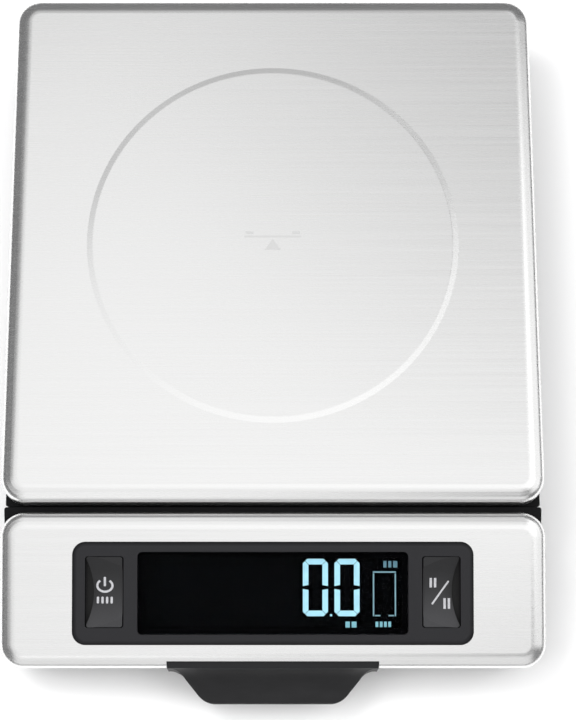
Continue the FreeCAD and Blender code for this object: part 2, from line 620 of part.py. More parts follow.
def bent_tube(points, r):
    """Round lead along straight runs joined by tangent arcs, as large as the runs allow."""
    points = [V(*p) for p in points]
    edges, here = [], points[0]
    for before, corner, after in zip(points, points[1:], points[2:]):
        into, out = corner - before, after - corner
        run = 0.45 * min(into.Length, out.Length)
        into.normalize()
        out.normalize()
        start, end = corner - into * run, corner + out * run
        half = into.getAngle(out) / 2
        radius = run / math.tan(half)
        inward = out - into
        inward.normalize()
        middle = corner + inward * (radius / math.cos(half) - radius)
        edges.append(Part.LineSegment(here, start).toShape())
        edges.append(Part.Arc(start, middle, end).toShape())
        here = end
    edges.append(Part.LineSegment(here, points[-1]).toShape())
    path = Part.Wire(edges)
    ring = Part.Wire([Part.Circle(points[0], points[1] - points[0], r).toShape()])
    return path.makePipeShell([ring], True, True)


def load_cell_cable():
    top = BOARD_Z0 + BOARD_THICK + 1.3
    route = [(CELL / 2, 62, 15), (12, 62, 15), (18, 46, 17), (21, 20, 19.5), (26, -4, 21), (35, -10, top),
             (35, -19, top)]
    return bent_tube(route, 1.1)


def battery_leads():
    """Two leads from the battery bay's front contacts to the base board."""
    top = BOARD_Z0 + BOARD_THICK + 1.3
    z = AAA_Z + 3.1
    right = [(AAA_X[3], BAY_Y0 - 0.1, z), (AAA_X[3], 80, z), (24, 68, 14.5), (30, 40, 19.5), (46, 4, 20.5),
             (52.5, -10, top), (52.5, -21.5, top)]
    left = [(AAA_X[0], BAY_Y0 - 0.1, z), (AAA_X[0], 83.6, z), (-4, 82.6, z + 2.5), (20, 78.5, z + 5),
            (33, 60, 18.5), (48, 16, 21), (55, -9, top), (55, -21.5, top)]
    return group([bent_tube(right, 0.65), bent_tube(left, 0.65)])


def band(y_centre, z_centre, r, start, sweep):
    """Part of a flat ring in the YZ plane, as wide as the ribbon."""
    thick, wide = RIBBON_THICK / 2, RIBBON_X1 - RIBBON_X0
    ring = Part.makeCylinder(r + thick, wide, V(RIBBON_X0, y_centre, z_centre), V(1, 0, 0), sweep)
    hole = Part.makeCylinder(r - thick, wide + 2, V(RIBBON_X0 - 1, y_centre, z_centre), V(1, 0, 0))
    piece = ring.cut(hole)
    # The cylinder's sweep starts along its own X axis, which is found from where the piece lies
    piece.rotate(V(0, y_centre, z_centre), V(1, 0, 0), start - ring_start())
    return piece


def ring_start():
    """Angle in the YZ plane at which a swept cylinder along X begins, from +Y towards +Z."""
    sample = Part.makeCylinder(10, 1, V(0, 0, 0), V(1, 0, 0), 10)
    centre = sample.CenterOfMass
    return math.degrees(math.atan2(centre.z, centre.y)) - 5


def ribbon_cable():
    """Rolling loop: along the base board's level, round, and forward on the tongue into the head."""
    x, t = (RIBBON_X0, RIBBON_X1), RIBBON_THICK / 2
    r = (RIBBON_HIGH - RIBBON_LOW) / 2
    rise_r, rise_y = 5.0, -84.0
    upper = box(*x, -21.5, RIBBON_LOOP_Y, RIBBON_HIGH - t, RIBBON_HIGH + t)
    loop = band(RIBBON_LOOP_Y, RIBBON_LOW + r, r, -90, 180)
    lower = box(*x, rise_y, RIBBON_LOOP_Y, RIBBON_LOW - t, RIBBON_LOW + t)
    bend = band(rise_y, RIBBON_LOW + rise_r, rise_r, 180, 90)
    upright = box(*x, rise_y - rise_r - t, rise_y - rise_r + t, RIBBON_LOW + rise_r, 17.0)
    return fuse(upper, loop, lower, bend, upright)


# ---- Display head -------------------------------------------------------------------------------
HEAD_SCREWS = [(s * 92.0, y) for s in (-1, 1) for y in (-82.5, -112.0)]
BOARD_SCREWS = [(s * 80.0, y) for s in (-1, 1) for y in (-16.0, -48.0)]
TAB_X, TAB_BACK_Y, TAB_TOP_Y = 41.1, HEAD_FRONT_Y + 1.6, HEAD_FRONT_Y + 2.9
TAB_SCREW_X, TAB_SCREW_Z = 26.0, 12.0


def head_cover():
    pan = steel_pan(WIDTH / 2, -FACE_LENGTH, 0, HEAD_CORNER, HEAD_BEVEL, HEAD_DROP, HEAD_SKIRT, SHEET)
    island = slab(ISLAND_X + 0.2, ISLAND_Y0 - 0.2, ISLAND_Y1 + 0.2, -3, 3, ISLAND_R + 0.2)
    notch = box(-TAB_X - 0.2, TAB_X + 0.2, -FACE_LENGTH - 5, -FACE_LENGTH + 3.1, -20, 5)
    return on_head(cut(pan, island, notch))


def display_bezel():
    """The head's upper moulding: a frame glued under the steel with the display island standing through it."""
    frame = slab(95.6, -53.4, -7.1, FRAME_LOW, FRAME_TOP, 5)
    foot = (ISLAND_X, ISLAND_Y0, ISLAND_Y1, 0.15, ISLAND_R, ISLAND_R)
    rim_r = ISLAND_R - ISLAND_RIM
    y0, y1 = ISLAND_Y0 + ISLAND_RIM, ISLAND_Y1 - ISLAND_RIM
    crown = (ISLAND_X - ISLAND_RIM, y0, y1, ISLAND_RISE, rim_r, rim_r)
    island = fuse(slab(ISLAND_X, ISLAND_Y0, ISLAND_Y1, FRAME_LOW, 0.15, ISLAND_R), taper(foot, crown))
    island = round_level(island, ISLAND_RISE, 1.2)
    bosses = [rod(x, y, BOARD_TOP, FRAME_LOW, 3.0) for x, y in BOARD_SCREWS]
    posts = []
    for x, y in HEAD_SCREWS:
        post = rod(x, y, HEAD_FLOOR + 5.4, HEAD_Z, 3.2).cut(above_face(FRAME_LOW + 0.5))
        posts.append(post)
    bezel = on_head(fuse(frame, island, *bosses))
    bezel = fuse(bezel, *posts)
    rebate = slab(LENS_X, LENS_Y0, LENS_Y1, LENS_TOP - LENS_THICK, 2, LENS_R)
    window = slab(LENS_X - 1.5, LENS_Y0 + 1.5, LENS_Y1 - 1.5, -5, 2, 1.0)
    key = slab(KEY_HALF + KEY_SIDE_GAP, KEY_Y0 - KEY_END_GAP, KEY_Y1 + KEY_END_GAP, -5, 2, 1.2)
    keys = [moved(key, s * KEY_X) for s in (-1, 1)]
    pilots = [rod(x, y, BOARD_TOP - 1, FRAME_LOW - 0.2, 1.0 + CLEAR) for x, y in BOARD_SCREWS]
    bores = [rod(x, y, HEAD_FLOOR, HEAD_FLOOR + 12.5, 1.25 + CLEAR) for x, y in HEAD_SCREWS]
    return cut(bezel, *[on_head(s) for s in [rebate, window, *keys, *pilots]], *bores)


def display_lens():
    lens = slab(LENS_X - 0.1, LENS_Y0 + 0.1, LENS_Y1 - 0.1, LENS_TOP - LENS_THICK, LENS_TOP, LENS_R - 0.1)
    return on_head(round_level(lens, LENS_TOP, 0.25))


def lcd_glass():
    return on_head(box(-LCD_X, LCD_X, LCD_Y0, LCD_Y1, -5.0, -2.8))


def lcd_backlight():
    return on_head(box(-LCD_X + 1, LCD_X - 1, LCD_Y0 + 0.6, -18.2, -7.4, -5.0))


def lcd_holder():
    """White frame that seats the glass, the backlight and the zebra strip on the board."""
    body = slab(LCD_X + 1.8, LCD_Y0 - 1.8, LCD_Y1 + 1.8, BOARD_TOP, -2.75, 1.5)
    glass = box(-LCD_X - 0.1, LCD_X + 0.1, LCD_Y0 - 0.1, LCD_Y1 + 0.1, -5.0, 0)
    light = box(-LCD_X + 0.9, LCD_X - 0.9, LCD_Y0 + 0.5, -18.1, -7.4, 0)
    zebra = box(-50.2, 50.2, -17.0, -14.4, -20, 0)
    under = box(-LCD_X + 3, LCD_X - 3, LCD_Y0 + 4, -20.5, -20, 0)
    return on_head(cut(body, glass, light, zebra, under))


def zebra_strip():
    return on_head(box(-50, 50, -16.9, -14.5, BOARD_TOP, -5.0))


DIGIT_Y0, DIGIT_Y1 = -40.2, -17.9
DIGIT_WIDE, STROKE = 9.8, 2.2
CUT, JOINT, ROUND = 0.55, 0.1, 1.7  # gap at mid-height, gap between bars, size of the outer corners
DIGITS_X0 = (11.7, 24.0)
INK_LOW, INK_TOP = -2.8, -2.7


def seven_segments(x0, lit):
    """One digit as bevelled bars. lit names its outer bars, clockwise from the top."""
    x1, y0, y1 = x0 + DIGIT_WIDE, DIGIT_Y0, DIGIT_Y1
    middle_x, middle_y, w, k, g = (x0 + x1) / 2, (y0 + y1) / 2, STROKE, ROUND, JOINT
    # The top bar and the upper right bar, from the outer corner on. The others are their mirror images.
    top = [
        (x0 + k / 2 + g, y1 - k / 2),
        (x0 + k, y1),
        (x1 - k, y1),
        (x1 - k / 2 - g, y1 - k / 2),
        (x1 - w - g, y1 - w),
        (x0 + w + g, y1 - w),
    ]
    side = [
        (x1 - k / 2, y1 - k / 2 - g),
        (x1, y1 - k),
        (x1, middle_y + CUT),
        (x1 - w, middle_y + CUT + w / 5),
        (x1 - w, y1 - w - g),
    ]
    flips = {
        "a": (top, 1, 1),
        "b": (side, 1, 1),
        "c": (side, 1, -1),
        "d": (top, 1, -1),
        "e": (side, -1, -1),
        "f": (side, -1, 1),
    }
    bars = []
    for name in lit:
        shape, across, along = flips[name]
        corners = []
        for x, y in shape:
            corners.append(V(middle_x + across * (x - middle_x), middle_y + along * (y - middle_y), INK_LOW))
        face = Part.Face(Part.makePolygon(corners + corners[:1]))
        bars.append(face.extrude(V(0, 0, INK_TOP - INK_LOW)))
    return bars


def lcd_segments():
    """The lit marks: 0.0 and the outline of the fill gauge."""
    marks = seven_segments(DIGITS_X0[0], "abcdef") + seven_segments(DIGITS_X0[1], "abcdef")
    marks.append(box(22.3, 23.1, DIGIT_Y0, DIGIT_Y0 + 0.8, INK_LOW, INK_TOP))
    x0, x1, y0, y1, w = 39.0, 48.0, DIGIT_Y0, -22.8, 0.5
    marks += [
        box(x0, x1, y1 - w, y1, INK_LOW, INK_TOP),
        box(x0, x0 + w, y0, y1 - w - 0.3, INK_LOW, INK_TOP),
        box(x1 - w, x1, y0, y1 - w - 0.3, INK_LOW, INK_TOP),
        box(x0 + w + 0.3, x0 + 2.9, y0, y0 + w, INK_LOW, INK_TOP),
        box(x1 - 2.9, x1 - w - 0.3, y0, y0 + w, INK_LOW, INK_TOP),
    ]
    return on_head(group(marks))


def display_board():
    board = slab(84, -53, -10.5, BOARD_LOW, BOARD_TOP, 2)
    return on_head(cut(board, *[rod(x, y, BOARD_LOW - 1, BOARD_TOP + 1, 1.2) for x, y in BOARD_SCREWS]))


def display_board_parts():
    """Controller, ribbon socket, crystal and capacitors on the board's underside."""
    chip = box(-8, 8, -36, -24, BOARD_LOW - 1.4, BOARD_LOW)
    crystal = box(14, 19, -34, -31.5, BOARD_LOW - 1.6, BOARD_LOW)
    capacitors = [box(x, x + 2, -44, -42.8, BOARD_LOW - 0.9, BOARD_LOW) for x in range(-20, 21, 8)]
    parts = [on_head(p) for p in [chip, crystal] + capacitors]
    socket = on_head(box(RIBBON_X0 - 1.5, RIBBON_X1 + 1.5, -24, -18, BOARD_LOW - 3.0, BOARD_LOW))
    slot = box(RIBBON_X0 - 0.2, RIBBON_X1 + 0.2, -89.4, -88.6, 5, 17.3)
    return group(parts + [socket.cut(slot)])


def display_board_screws():
    return on_head(group([screw_up(x, y, BOARD_LOW, 1.0, 7.0, 2.0, 1.3) for x, y in BOARD_SCREWS]))


SWITCH_TOP = -6.9


def tact_switches():
    switches = []
    for s in (-1, 1):
        x, y = s * KEY_X, (KEY_Y0 + KEY_Y1) / 2
        body = box(x - 3, x + 3, y - 3, y + 3, BOARD_TOP, SWITCH_TOP)
        switches.append(body.cut(rod(x, y, SWITCH_TOP - 1.2, SWITCH_TOP + 1, 1.8)))
    return on_head(group(switches))


def switch_plunger(side):
    x, y = side * KEY_X, (KEY_Y0 + KEY_Y1) / 2
    return on_head(rod(x, y, SWITCH_TOP - KEY_TRAVEL, SWITCH_TOP + 0.6, 1.7))


def key_cap(side):
    """Key with a finger scoop that deepens outwards, and a lens-shaped relief along its outer edge."""
    x, y = side * KEY_X, (KEY_Y0 + KEY_Y1) / 2
    cap = moved(slab(KEY_HALF, KEY_Y0, KEY_Y1, FRAME_LOW - 1.7, KEY_TOP, 1.1), x)
    cap = round_level(cap, KEY_TOP, 0.4)
    r, deep, shallow = 40.0, 2.9, 1.2
    lean = side * math.degrees(math.atan((deep - shallow) / (2 * KEY_HALF)))
    scoop = rod_x(-12, 12, 0, r, r)  # lies along the key's width
    scoop = moved(turned(scoop, V(0, 1, 0), lean), x, y, KEY_TOP - (deep + shallow) / 2)
    flange = slab(KEY_HALF + 1.1, KEY_Y0 - 1.1, KEY_Y1 + 1.1, FRAME_LOW - 1.7, FRAME_LOW - 0.3, 1.6)
    flange = moved(flange, x)
    stem = rod(x, y, SWITCH_TOP + 0.6, FRAME_LOW - 1.7, 2.4)
    reach = (KEY_Y1 - KEY_Y0) / 2 - 1.0
    relief_r = (reach**2 + KEY_RELIEF**2) / (2 * KEY_RELIEF)
    edge = side * (KEY_X + KEY_HALF - KEY_RELIEF + relief_r)
    relief = rod(edge, y, FRAME_LOW - 0.3, KEY_TOP + 1, relief_r)
    return on_head(fuse(cut(cap, scoop, relief), flange, stem))


def head_outline(inset, z):
    """The head's lower plan at height z: square behind, round in front, leaning in towards the bottom."""
    lean = BASE_LEAN * (BASE_TOP - z) / (BASE_TOP - FOOT_H)
    return (
        BASE_HALF - lean - inset,
        HEAD_FRONT_Y + 2.0 + lean / 2 + inset,
        HEAD_BACK_Y - inset,
        z,
        8.5 - inset,
        max(1.0 - inset, 0.5),
    )


def head_housing():
    top = HEAD_Z
    low = taper(head_outline(0, HEAD_LOW), head_outline(0, top))
    low = round_level(low, HEAD_LOW, 0.8).cut(above_face(SHELF))
    room = taper(head_outline(WALL, HEAD_FLOOR), head_outline(WALL, top)).cut(above_face(SHELF - 2.0))
    inset = SHEET + 0.35
    wall = slab(WIDTH / 2 - inset, -FACE_LENGTH + inset, -inset, SHELF - 1.5, WALL_TOP, HEAD_CORNER - inset)
    inner = inset + 2.0
    clear = slab(WIDTH / 2 - inner, -FACE_LENGTH + inner, -inner, SHELF, 2, HEAD_CORNER - inner)
    narrow = inner + 2.0  # the throat below the clearing stays inside the lower housing's leaning walls
    front_edge = -FACE_LENGTH + inner + 0.6
    throat = slab(WIDTH / 2 - narrow, front_edge, -narrow, SHELF - 2.5, SHELF + 0.5, HEAD_CORNER - narrow)
    clear = on_head(fuse(clear, throat))
    bosses = [rod(x, y, HEAD_FLOOR - 0.5, HEAD_FLOOR + 5.4, 3.4) for x, y in HEAD_SCREWS]
    front = TAB_BACK_Y + 0.2
    pads = [rod_y(s * TAB_SCREW_X, front, front + 5, TAB_SCREW_Z, 3.2) for s in (-1, 1)]
    shell = fuse(low, on_head(wall)).cut(room)
    shell = fuse(shell.cut(clear), *bosses, *pads)
    cuts = [rod(x, y, 0, HEAD_FLOOR + 7, 1.5) for x, y in HEAD_SCREWS]
    cuts += [rod(x, y, 0, HEAD_LOW + 2.0, 2.9) for x, y in HEAD_SCREWS]
    for s in (-1, 1):
        for y in TONGUE_SCREWS_Y:
            cuts += [rod(s * 50, y, 0, HEAD_FLOOR + 1, 1.6), rod(s * 50, y, 0, HEAD_LOW + 1.2, 3.2)]
        cuts.append(rod_y(s * TAB_SCREW_X, -140, -120, TAB_SCREW_Z, 1.5))
    mouth = TONGUE_HALF + 0.3
    cuts.append(box(-mouth, mouth, HEAD_BACK_Y - 5, HEAD_BACK_Y + 1, HEAD_FLOOR, TONGUE_TOP + 0.3))
    cuts.append(box(-TAB_X - 0.3, TAB_X + 0.3, -140, front, 5, 30))
    return cut(shell, *cuts)


def head_screws():
    seat = HEAD_LOW + 2.0
    return group([screw_up(x, y, seat, 1.25, 11.5, 2.7, 1.6) for x, y in HEAD_SCREWS])


def pull_tab():
    """Grip under the display: a backing plate in the cover's notch that sweeps out into a curved lip."""
    nose, back, top = TAB_FRONT_Y, TAB_BACK_Y, TAB_TOP_Y
    edges = []

    def line(*points):
        for a, b in zip(points, points[1:]):
            edges.append(Part.LineSegment(V(0, *a), V(0, *b)).toShape())

    def arc(a, b, c):
        edges.append(Part.Arc(V(0, *a), V(0, *b), V(0, *c)).toShape())

    line((back, 8.8), (back, 20.9), (top, 20.9), (top, 23.1), (-130.8, 21.9))
    arc((-130.8, 21.9), (-133.4, 17.1), (-140.4, 14.0))
    line((-140.4, 14.0), (nose + 1.6, 13.8))
    arc((nose + 1.6, 13.8), (nose, 12.2), (nose + 1.6, 10.6))
    line((nose + 1.6, 10.6), (-136.5, 10.8))
    arc((-136.5, 10.8), (-133.2, 10.2), (-131.5, 8.8))
    line((-131.5, 8.8), (back, 8.8))
    body = Part.Face(Part.Wire(edges)).extrude(V(2 * TAB_X, 0, 0))
    body = moved(body, -TAB_X)
    # Plan of the lip: hollow shoulders, slanting sides, round front corners
    shoulder = [(TAB_X, -131.0), (36.4, -132.2), (34.2, -134.6)]
    corner = [(29.5, -140.3), (26.5, -142.9), (21.5, nose)]
    plan = [Part.LineSegment(V(-TAB_X, -120, 0), V(TAB_X, -120, 0)).toShape()]
    for s in (1, -1):
        bend, tip = [[V(s * x, y, 0) for x, y in points] for points in (shoulder, corner)]
        plan.append(Part.LineSegment(V(s * TAB_X, -120, 0), bend[0]).toShape())
        plan.append(Part.Arc(*bend).toShape())
        plan.append(Part.LineSegment(bend[2], tip[0]).toShape())
        plan.append(Part.Arc(*tip).toShape())
    plan.append(Part.LineSegment(V(21.5, nose, 0), V(-21.5, nose, 0)).toShape())
    prism = Part.Face(Part.Wire(Part.__sortEdges__(plan))).extrude(V(0, 0, 60))
    tab = body.common(prism)
    screw_holes = [
        rod_y(s * TAB_SCREW_X, TAB_BACK_Y - 1.4, TAB_BACK_Y + 1, TAB_SCREW_Z, 1.25 + CLEAR) for s in (-1, 1)
    ]
    return cut(tab, *screw_holes)


def pull_tab_screws():
    screws = []
    for s in (-1, 1):
        one = turned(screw(1.25, 6.2, 2.6, 1.4), V(1, 0, 0), -90)
        screws.append(moved(one, s * TAB_SCREW_X, TAB_BACK_Y + 5.2, TAB_SCREW_Z))
    return group(screws)


# ---- Every node, written as one file each ----------------------------------------------------------
NODES = {
    "platform_plate": platform_plate,
    "platform_liner": platform_liner,
    "weigh_tray": weigh_tray,
    "tray_spacer": tray_spacer,
    "tray_screws": tray_screws,
    "platform_pads": platform_pads,
    "load_cell": load_cell,
    "gauge_covers": gauge_covers,
    "load_cell_spacer": load_cell_spacer,
    "load_cell_screws": load_cell_screws,
    "load_cell_cable": load_cell_cable,
    "base_shell": base_shell,
    "base_cover": base_cover,
    "base_screws": base_screws,
    "rubber_feet": rubber_feet,
    "guide_rails": guide_rails,
    "guide_rail_screws": guide_rail_screws,
    "detent_springs": detent_springs,
    "slide_tongue": slide_tongue,
    "tongue_screws": tongue_screws,
    "stop_bumpers": stop_bumpers,
    "batteries": batteries,
    "battery_springs": battery_springs,
    "battery_contacts": battery_contacts,
    "battery_door": battery_door,
    "battery_leads": battery_leads,
    "base_board": base_board,
    "base_board_parts": base_board_parts,
    "base_board_screws": base_board_screws,
    "ribbon_cable": ribbon_cable,
    "head_cover": head_cover,
    "display_bezel": display_bezel,
    "display_lens": display_lens,
    "lcd_glass": lcd_glass,
    "lcd_segments": lcd_segments,
    "lcd_backlight": lcd_backlight,
    "lcd_holder": lcd_holder,
    "zebra_strip": zebra_strip,
    "display_board": display_board,
    "display_board_parts": display_board_parts,
    "display_board_screws": display_board_screws,
    "tact_switches": tact_switches,
    "power_key": lambda: key_cap(-1),
    "power_switch_plunger": lambda: switch_plunger(-1),
    "unit_key": lambda: key_cap(1),
    "unit_switch_plunger": lambda: switch_plunger(1),
    "head_housing": head_housing,
    "head_screws": head_screws,
    "pull_tab": pull_tab,
    "pull_tab_screws": pull_tab_screws,
}

os.makedirs("parts", exist_ok=True)
for name, make in NODES.items():
    shape = make()
    solids = shape.Solids
    if not solids or not all(s.isValid() and s.Volume > 0 for s in solids):
        raise RuntimeError(f"{name} is not made of valid solids")
    Part.makeCompound(solids).exportStep(f"parts/{name}.step")
    print(f"{name}: {len(solids)} solids, {sum(s.Volume for s in solids):.0f} mm3")
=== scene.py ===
import json
import math

import bmesh
import bpy
from mathutils import Matrix, Vector


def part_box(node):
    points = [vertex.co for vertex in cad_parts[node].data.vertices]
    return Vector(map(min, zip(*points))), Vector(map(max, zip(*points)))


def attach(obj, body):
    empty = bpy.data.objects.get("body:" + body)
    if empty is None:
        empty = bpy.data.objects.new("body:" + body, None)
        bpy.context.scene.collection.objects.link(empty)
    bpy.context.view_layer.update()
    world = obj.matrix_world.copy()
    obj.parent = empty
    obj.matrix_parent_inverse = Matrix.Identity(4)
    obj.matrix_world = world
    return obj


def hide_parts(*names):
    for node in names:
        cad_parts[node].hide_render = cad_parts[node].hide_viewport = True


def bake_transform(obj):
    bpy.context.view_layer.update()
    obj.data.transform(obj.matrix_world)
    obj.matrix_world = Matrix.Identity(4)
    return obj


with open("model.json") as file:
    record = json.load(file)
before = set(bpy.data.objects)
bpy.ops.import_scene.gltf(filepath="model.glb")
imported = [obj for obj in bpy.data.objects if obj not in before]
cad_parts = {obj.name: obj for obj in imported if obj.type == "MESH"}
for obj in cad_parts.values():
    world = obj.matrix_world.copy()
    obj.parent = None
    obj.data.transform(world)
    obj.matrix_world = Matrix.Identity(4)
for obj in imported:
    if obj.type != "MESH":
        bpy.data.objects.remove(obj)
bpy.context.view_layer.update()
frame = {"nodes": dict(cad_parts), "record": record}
nodes = frame["nodes"]

MM = 0.001
scene = bpy.context.scene

# ---- Places read from the frame ---------------------------------------------------------------------
plate_low, plate_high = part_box("platform_plate")
plate_middle = (plate_low + plate_high) / 2
lens_low, lens_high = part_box("display_lens")
cell_low, cell_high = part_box("load_cell")
cell_middle = (cell_low + cell_high) / 2

# The display face leans forward. In its own frame the steel is at z = 0 and its rear edge at y = 0.
# Marks on the face are given in that frame, in millimetres.
HEAD_TILT = math.radians(12.0)
LENS_CENTRE = Vector((0.0, -31.05, 0.0)) * MM
TURN = Matrix.Rotation(HEAD_TILT, 4, "X")
FACE = Matrix.Translation((lens_low + lens_high) / 2 - TURN @ LENS_CENTRE) @ TURN

# Heights on the face, in millimetres from the steel
BEZEL_EDGE, BEZEL_TOP = 0.35, 0.93
SCOOP_FLOOR, SCOOP_TOP = -2.3, -1.2
LENS_UNDERSIDE = -0.73
GLASS_TOP = -2.8

# Reach of the keys towards the user and away, and where the display's small symbols start, in millimetres
KEY_NEAR, KEY_FAR = -42.0, -22.0
SYMBOLS_X = 36.0

# The battery bay, in millimetres: four cells side by side
CELLS = 4
CELLS_X = (-22, 22)
CELLS_Y = (87, 138)


# ---- Shader helpers -----------------------------------------------------------------------------
class Shader:
    """A new material with its Principled node and short calls for procedural detail."""

    def __init__(self, name, **sockets):
        self.material = bpy.data.materials.new(name)
        self.material.use_nodes = True
        self.tree = self.material.node_tree
        self.main = self.tree.nodes["Principled BSDF"]
        for socket, value in sockets.items():
            self.main.inputs[socket.replace("_", " ")].default_value = value

    def node(self, kind, **settings):
        node = self.tree.nodes.new(kind)
        for key, value in settings.items():
            setattr(node, key, value)
        return node

    def link(self, source, target):
        self.tree.links.new(source, target)

    def place(self, scale=(1, 1, 1)):
        """Position on the part, in metres, stretched by scale."""
        coordinates = self.node("ShaderNodeTexCoord")
        mapping = self.node("ShaderNodeMapping")
        mapping.inputs["Scale"].default_value = scale
        self.link(coordinates.outputs["Object"], mapping.inputs["Vector"])
        return mapping.outputs["Vector"]

    def axes(self, vector):
        """X, Y and Z outputs of a position."""
        split = self.node("ShaderNodeSeparateXYZ")
        self.link(vector, split.inputs["Vector"])
        return split.outputs["X"], split.outputs["Y"], split.outputs["Z"]

    def face_place(self):
        """Position in the display face's own frame, in metres, as X, Y and Z outputs."""
        coordinates = self.node("ShaderNodeTexCoord")
        mapping = self.node("ShaderNodeMapping", vector_type="TEXTURE")
        mapping.inputs["Location"].default_value = FACE.to_translation()
        mapping.inputs["Rotation"].default_value = (HEAD_TILT, 0, 0)
        self.link(coordinates.outputs["Object"], mapping.inputs["Vector"])
        return self.axes(mapping.outputs["Vector"])

    def noise(self, vector, scale, detail=2.0, roughness=0.5):
        noise = self.node("ShaderNodeTexNoise")
        noise.inputs["Scale"].default_value = scale
        noise.inputs["Detail"].default_value = detail
        noise.inputs["Roughness"].default_value = roughness
        self.link(vector, noise.inputs["Vector"])
        return noise.outputs["Fac"]

    def spread(self, value, low, high, start=0.0, end=1.0):
        """Maps value from start..end to low..high."""
        mapping = self.node("ShaderNodeMapRange")
        mapping.inputs["From Min"].default_value = start
        mapping.inputs["From Max"].default_value = end
        mapping.inputs["To Min"].default_value = low
        mapping.inputs["To Max"].default_value = high
        self.link(value, mapping.inputs["Value"])
        return mapping.outputs["Result"]

    def math(self, operation, first, second):
        node = self.node("ShaderNodeMath", operation=operation)
        for socket, value in zip(node.inputs, (first, second)):
            if isinstance(value, (int, float)):
                socket.default_value = value
            else:
                self.link(value, socket)
        return node.outputs["Value"]

    def ramp(self, value, *stops):
        """Colour by value. Each stop is a place and a colour."""
        ramp = self.node("ShaderNodeValToRGB")
        elements = ramp.color_ramp.elements
        while len(elements) < len(stops):
            elements.new(0.5)
        for element, (place, colour) in zip(elements, stops):
            element.position = place
            element.color = (*colour, 1.0)
        self.link(value, ramp.inputs["Fac"])
        return ramp.outputs["Color"]

    def bump(self, height, distance, strength):
        bump = self.node("ShaderNodeBump")
        bump.inputs["Distance"].default_value = distance
        bump.inputs["Strength"].default_value = strength
        self.link(height, bump.inputs["Height"])
        self.link(bump.outputs["Normal"], self.main.inputs["Normal"])

    def set(self, socket, source):
        self.link(source, self.main.inputs[socket])


def shade(colour, factor):
    return tuple(channel * factor for channel in colour)


# ---- Materials ----------------------------------------------------------------------------------
def brushed_steel(name, colour, rough):
    """Fine brushing from side to side: long thin streaks in gloss and height, and faint wide clouds."""
    s = Shader(name, Metallic=1.0)
    fine = s.noise(s.place((14, 5200, 5200)), 1.0, 3.0, 0.65)
    streak = s.noise(s.place((5, 900, 900)), 1.0, 2.0, 0.6)
    cloud = s.noise(s.place((9, 9, 9)), 1.0, 2.0)
    mixed = s.math("ADD", s.math("MULTIPLY", fine, 0.6), s.math("MULTIPLY", streak, 0.4))
    s.set("Base Color", s.ramp(mixed, (0.30, shade(colour, 0.94)), (0.70, shade(colour, 1.03))))
    brushing = s.spread(mixed, rough - 0.05, rough + 0.06, 0.3, 0.7)
    s.set("Roughness", s.math("ADD", brushing, s.spread(cloud, -0.015, 0.015)))
    s.bump(mixed, 0.01 * MM, 0.35)
    return s.material


def etched_steel(name, colour):
    """The same steel where a mark was etched into it: duller and faintly darker."""
    s = Shader(name, Metallic=1.0)
    frost = s.noise(s.place((2400, 5200, 5200)), 1.0, 3.0, 0.65)
    s.set("Base Color", s.ramp(frost, (0.3, shade(colour, 0.95)), (0.7, shade(colour, 1.03))))
    s.set("Roughness", s.spread(frost, 0.34, 0.44, 0.3, 0.7))
    s.bump(frost, 0.006 * MM, 0.4)
    return s.material


def moulded(name, colour, rough, grain=2600.0, depth=0.012, mirror=0.5):
    """Moulded plastic: an even sandy grain, slightly uneven gloss and a slightly cloudy colour."""
    s = Shader(name, Specular_IOR_Level=mirror)
    sand = s.noise(s.place(), grain, 3.0, 0.6)
    cloud = s.noise(s.place(), 45.0, 3.0)
    s.set("Base Color", s.ramp(cloud, (0.3, shade(colour, 0.88)), (0.7, shade(colour, 1.12))))
    s.set("Roughness", s.spread(s.math("ADD", sand, cloud), rough - 0.06, rough + 0.07, 0.7, 1.3))
    s.bump(sand, depth * MM, 0.6)
    return s.material


def bezel_plastic(name, colour, rim):
    """The moulding round the display: satin, with painted shade that darkens its colour down the sloping
    rim.
    """
    s = Shader(name, Specular_IOR_Level=0.24)
    sand = s.noise(s.place(), 3600.0, 3.0, 0.6)
    cloud = s.noise(s.place(), 45.0, 3.0)
    # Painted shade: the colour runs from the rim colour at the rim's foot to the top's colour on the flat
    # top
    height = s.spread(s.face_place()[2], 0.0, 1.0, BEZEL_EDGE * MM, BEZEL_TOP * MM)
    level = s.math("ADD", height, s.spread(cloud, -0.12, 0.12, 0.3, 0.7))
    s.set("Base Color", s.ramp(level, (0.0, rim), (0.75, shade(colour, 0.93)), (1.0, shade(colour, 1.05))))
    s.set("Roughness", s.spread(s.math("ADD", sand, cloud), 0.40, 0.52, 0.7, 1.3))
    s.bump(sand, 0.008 * MM, 0.6)
    return s.material


def key_plastic(name, colour):
    """The keys: satin, with painted light making the colour lighter towards the user and painted shade
    darkening it down in the finger relief.
    """
    s = Shader(name, Specular_IOR_Level=0.3)
    sand = s.noise(s.place(), 3600.0, 3.0, 0.6)
    cloud = s.noise(s.place(), 45.0, 3.0)
    _, along, height = s.face_place()
    # Painted light: the colour is lighter towards the user, where the scoop's near end faces the light
    painted_light_near = s.spread(along, 1.75, 0.70, KEY_NEAR * MM, KEY_FAR * MM)
    # Painted shade: the colour is darker the deeper the point lies in the finger relief
    depth = s.spread(height, 0.12, 1.0, SCOOP_FLOOR * MM, SCOOP_TOP * MM)
    level = s.math("MULTIPLY", s.math("MULTIPLY", painted_light_near, depth), s.spread(cloud, 0.42, 0.55, 0.3, 0.7))
    s.set("Base Color", s.ramp(level, (0.0, (0.0, 0.0, 0.0)), (1.0, shade(colour, 2.0))))
    s.set("Roughness", s.spread(s.math("ADD", sand, cloud), 0.38, 0.50, 0.7, 1.3))
    s.bump(sand, 0.008 * MM, 0.6)
    return s.material


